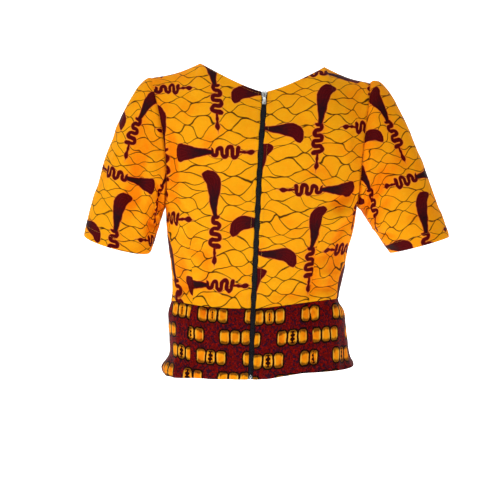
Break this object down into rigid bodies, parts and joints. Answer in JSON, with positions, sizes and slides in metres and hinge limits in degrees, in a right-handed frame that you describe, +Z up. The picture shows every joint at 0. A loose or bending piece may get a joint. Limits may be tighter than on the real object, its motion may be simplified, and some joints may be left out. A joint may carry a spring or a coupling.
{
  "type": "short-sleeved ankara top with back zip",
  "caption": "Fitted wax-print cotton top with short set-in sleeves, a scooped neck, a full-length back zip and a contrast basque band, hollow as when worn.",
  "frame": {"origin": "midway between the two neck points, at the height of the shoulder seams' inner ends", "axes": "+Z up, the back with the zip faces -Y, the front faces +Y, +X to the right seen from behind"},
  "size_m": [0.6551, 0.2266, 0.5533],
  "materials": {
    "wax_print": "yellow-orange wax-print cotton with burgundy drops and a fine dark net",
    "basque_print": "dark maroon wax-print cotton with rows of orange shapes",
    "zip_tape": "black woven tape",
    "zip_teeth": "dark grey moulded teeth",
    "zip_metal": "bright silver metal"
  },
  "bodies": {
    "top": {"back_left": "wax_print", "back_right": "wax_print", "front": "wax_print", "sleeve_left": "wax_print", "sleeve_right": "wax_print", "basque_back_left": "basque_print", "basque_back_right": "basque_print", "basque_front": "basque_print", "zip_tape_left": "zip_tape", "zip_tape_right": "zip_tape", "zip_chain": "zip_teeth", "zip_bottom_stop": "zip_metal", "zip_slider": "zip_metal"},
    "pull": {"zip_pull": "zip_metal"}
  },
  "joints": [
    {"name": "pull_hinge", "type": "hinge", "parent": "top", "child": "pull", "pos_m": [0.00286, -0.07832, -0.05531], "axis": [-0.9999, 0.0074, 0.0146], "range_deg": [0, 160]}
  ]
}
